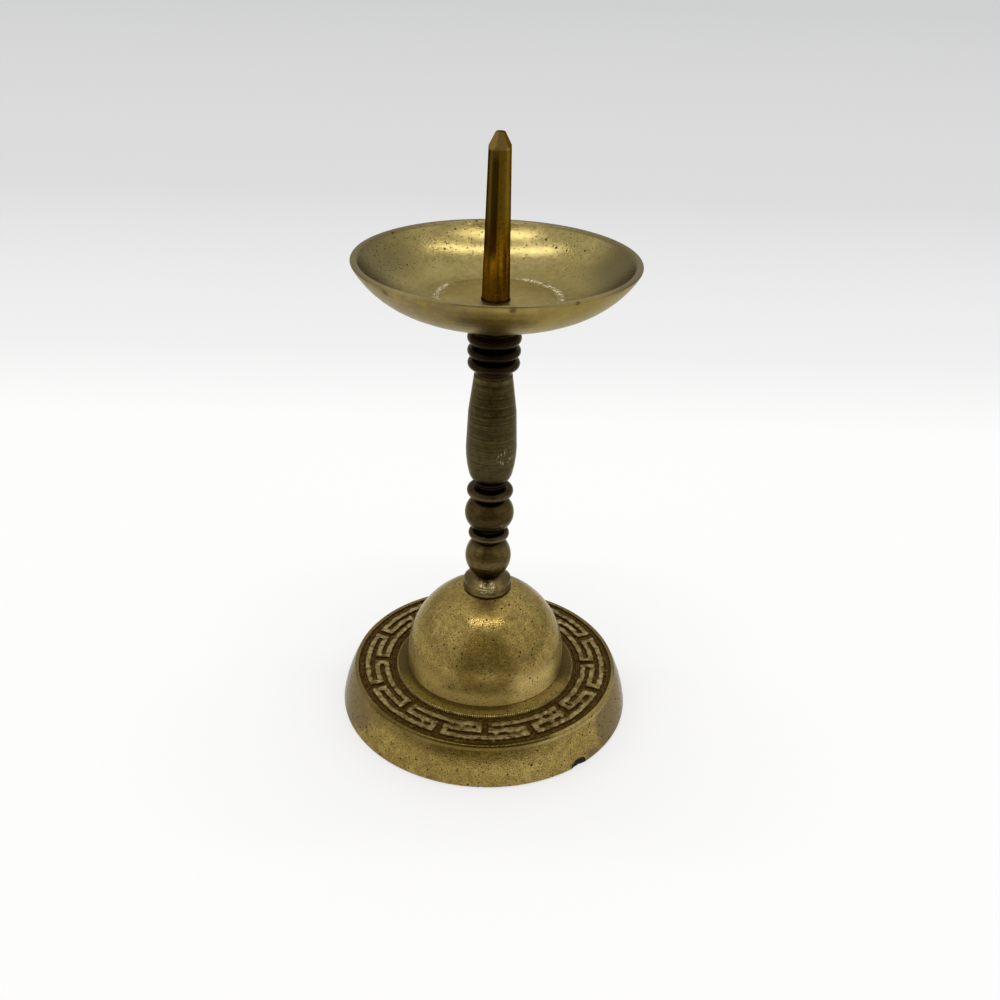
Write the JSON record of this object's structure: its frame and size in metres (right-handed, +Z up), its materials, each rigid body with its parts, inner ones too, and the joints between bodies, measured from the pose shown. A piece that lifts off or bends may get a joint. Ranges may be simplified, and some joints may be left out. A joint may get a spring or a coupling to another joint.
{
  "type": "pricket candle stand",
  "caption": "Aged brass pricket candle stand: domed round base with a running fret, turned baluster stem, shallow drip pan and a tapered spike that holds a candle.",
  "frame": {"origin": "centre of the circle that the base stands on, in the plane of the table", "axes": "+Z up the stand's axis from base to spike, -Y towards the pictured front, where a gap of the fret lies"},
  "size_m": [0.075, 0.075, 0.1473],
  "materials": {
    "base_brass": "aged satin casting with pits and a dark sunk fret",
    "stem_brass": "turned, dark brown patina with fine tool lines",
    "pan_brass": "aged satin, polished inside, with brown spots",
    "pricket_brass": "amber tarnish, drawn and filed",
    "fastener_steel": "dull plated steel"
  },
  "bodies": {
    "stand": {"base": "base_brass", "base_washer": "fastener_steel", "base_nut": "fastener_steel", "stem": "stem_brass"},
    "pan": {"drip_pan": "pan_brass"},
    "pricket": {"pricket": "pricket_brass"}
  },
  "joints": [
    {"name": "pan_lift", "type": "slide", "parent": "stand", "child": "pan", "axis": [0, 0, 1], "range_m": [0, 0.02]},
    {"name": "pricket_lift", "type": "slide", "parent": "pan", "child": "pricket", "axis": [0, 0, 1], "range_m": [0, 0.025]}
  ]
}
